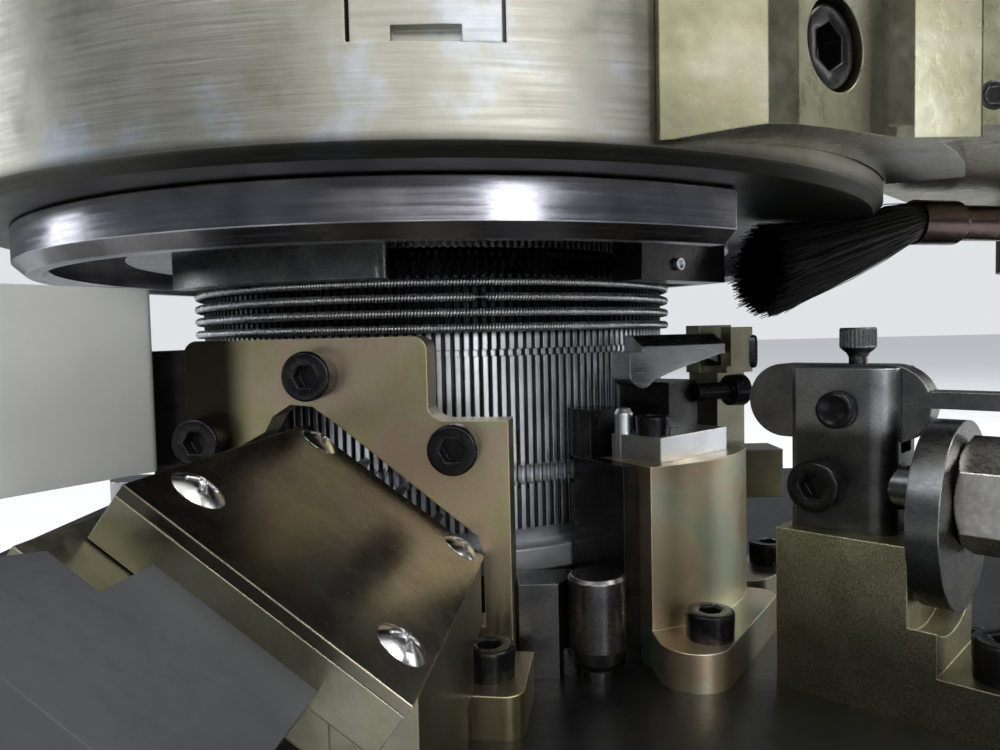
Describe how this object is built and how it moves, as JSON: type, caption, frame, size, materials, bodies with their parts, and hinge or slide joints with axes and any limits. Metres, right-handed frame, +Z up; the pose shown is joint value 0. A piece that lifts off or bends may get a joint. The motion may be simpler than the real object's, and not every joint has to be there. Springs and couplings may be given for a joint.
{
  "type": "industrial knitting machine",
  "caption": "Knitting head of a small-diameter sock knitting machine: slotted needle cylinder with jacks and sinkers, cam stations, head disc, brush and gear drive on a bed plate.",
  "frame": {"origin": "centre of the sock tube's lower mouth, on the cylinder axis at the underside of the bottom cover", "axes": "+Z up along the cylinder axis, -Y towards the front, +X to the right as seen from the front"},
  "size_m": [0.29, 0.2316, 0.1595],
  "materials": {
    "yellow_plate": "yellow zinc passivate, brushed",
    "olive_plate": "olive zinc passivate",
    "bright_steel": "ground steel",
    "oily_steel": "oiled dark steel",
    "polished_steel": "polished",
    "black_oxide": "black oxide",
    "bronze": "turned",
    "dark_casting": "machined and oiled",
    "grey_paint": "satin light grey",
    "blue_grey_paint": "satin blue grey",
    "bristle": "black nylon bristle",
    "aluminium": "satin"
  },
  "bodies": {
    "frame": {"bed_plate": "dark_casting", "gear_case": "dark_casting", "bottom_cover": "dark_casting", "case_screws": "black_oxide", "sock_tube": "bright_steel", "cylinder_bush": "bronze", "shaft_bushes": "bronze", "cam_plate": "yellow_plate", "raising_cam": "oily_steel", "stitch_cam": "black_oxide", "guide_post": "oily_steel", "cam_tower": "yellow_plate", "tower_cap": "bright_steel", "station_screws": "black_oxide", "selector_bracket": "olive_plate", "selector_case": "olive_plate", "selector_cover": "polished_steel", "cover_screws": "bright_steel", "selector_housing": "blue_grey_paint", "side_cover": "grey_paint", "adjuster_block": "yellow_plate", "adjuster_head": "oily_steel", "adjuster_screws": "black_oxide", "picker_bracket": "olive_plate", "column": "bright_steel", "support_arm": "yellow_plate", "arm_shelf": "olive_plate", "clamp_screws": "black_oxide", "head_disc": "olive_plate", "gate_block": "olive_plate", "guard_ring": "polished_steel", "sinker_cap": "oily_steel", "arc_bracket": "black_oxide", "feeder_block": "black_oxide", "dial_bush": "bronze", "gear_cover": "dark_casting", "brush_holder": "dark_casting"},
    "cylinder": {"needle_cylinder": "bright_steel", "needles": "polished_steel", "jacks": "bright_steel", "sinkers": "oily_steel", "garter_springs": "oily_steel", "cylinder_carrier": "bright_steel", "cylinder_gear": "oily_steel"},
    "pinion": {"drive_pinion": "bright_steel"},
    "lay": {"lay_shaft": "bright_steel", "lay_pinions": "oily_steel"},
    "dial_unit": {"dial": "oily_steel", "dial_shaft": "bright_steel", "dial_gear": "oily_steel"},
    "picker": {"picker_lever": "bright_steel"},
    "rocker_arm": {"rocker": "oily_steel"},
    "thumb": {"thumb_screw": "black_oxide"},
    "spindle": {"adjuster_spindle": "bright_steel", "lock_nut": "bright_steel"},
    "brush": {"brush_rod": "aluminium", "brush_bristles": "bristle"},
    "finger_1": {"selector_finger_1": "bright_steel"},
    "finger_2": {"selector_finger_2": "bright_steel"},
    "finger_3": {"selector_finger_3": "bright_steel"}
  },
  "joints": [
    {"name": "cylinder_spin", "type": "hinge", "parent": "frame", "child": "cylinder", "pos_m": [0, 0, 0], "axis": [0, 0, 1], "continuous": true},
    {"name": "pinion_spin", "type": "hinge", "parent": "frame", "child": "pinion", "pos_m": [-0.0675, 0, 0], "axis": [0, 0, 1], "continuous": true},
    {"name": "lay_spin", "type": "hinge", "parent": "frame", "child": "lay", "pos_m": [0, 0.0675, 0], "axis": [0, 0, 1], "continuous": true},
    {"name": "dial_spin", "type": "hinge", "parent": "frame", "child": "dial_unit", "pos_m": [0, 0, 0], "axis": [0, 0, 1], "continuous": true},
    {"name": "picker_swing", "type": "hinge", "parent": "frame", "child": "picker", "pos_m": [0.05304, -0.0349, 0.09], "axis": [0.5344, -0.8453, 0], "range_deg": [-12, 0]},
    {"name": "rocker_tilt", "type": "hinge", "parent": "frame", "child": "rocker_arm", "pos_m": [0.06267, -0.06268, 0.0828], "axis": [0.6947, 0.7193, 0], "range_deg": [-8, 0]},
    {"name": "thumb_turn", "type": "hinge", "parent": "rocker_arm", "child": "thumb", "pos_m": [0.06303, -0.06303, 0.09], "axis": [0, 0, 1], "range_deg": [-180, 180]},
    {"name": "spindle_turn", "type": "hinge", "parent": "frame", "child": "spindle", "pos_m": [0.0648, -0.0671, 0.0725], "axis": [0.7193, -0.6947, 0], "range_deg": [-30, 30]},
    {"name": "brush_slide", "type": "slide", "parent": "frame", "child": "brush", "axis": [0.9703, 0.2419, 0], "range_m": [0, 0.015]},
    {"name": "finger_1_swing", "type": "hinge", "parent": "frame", "child": "finger_1", "pos_m": [-0.01019, -0.06958, 0.07397], "axis": [0.7933, -0.0925, -0.6018], "range_deg": [-3, 3]},
    {"name": "finger_2_swing", "type": "hinge", "parent": "frame", "child": "finger_2", "pos_m": [-0.00464, -0.07023, 0.06975], "axis": [0.7933, -0.0925, -0.6018], "range_deg": [-3, 3]},
    {"name": "finger_3_swing", "type": "hinge", "parent": "frame", "child": "finger_3", "pos_m": [0.00091, -0.07087, 0.06554], "axis": [0.7933, -0.0925, -0.6018], "range_deg": [-3, 3]}
  ],
  "couplings": [
    {"joint": "pinion_spin", "follows": "cylinder_spin", "ratio": -4},
    {"joint": "lay_spin", "follows": "cylinder_spin", "ratio": -4},
    {"joint": "dial_spin", "follows": "cylinder_spin", "ratio": 1}
  ]
}
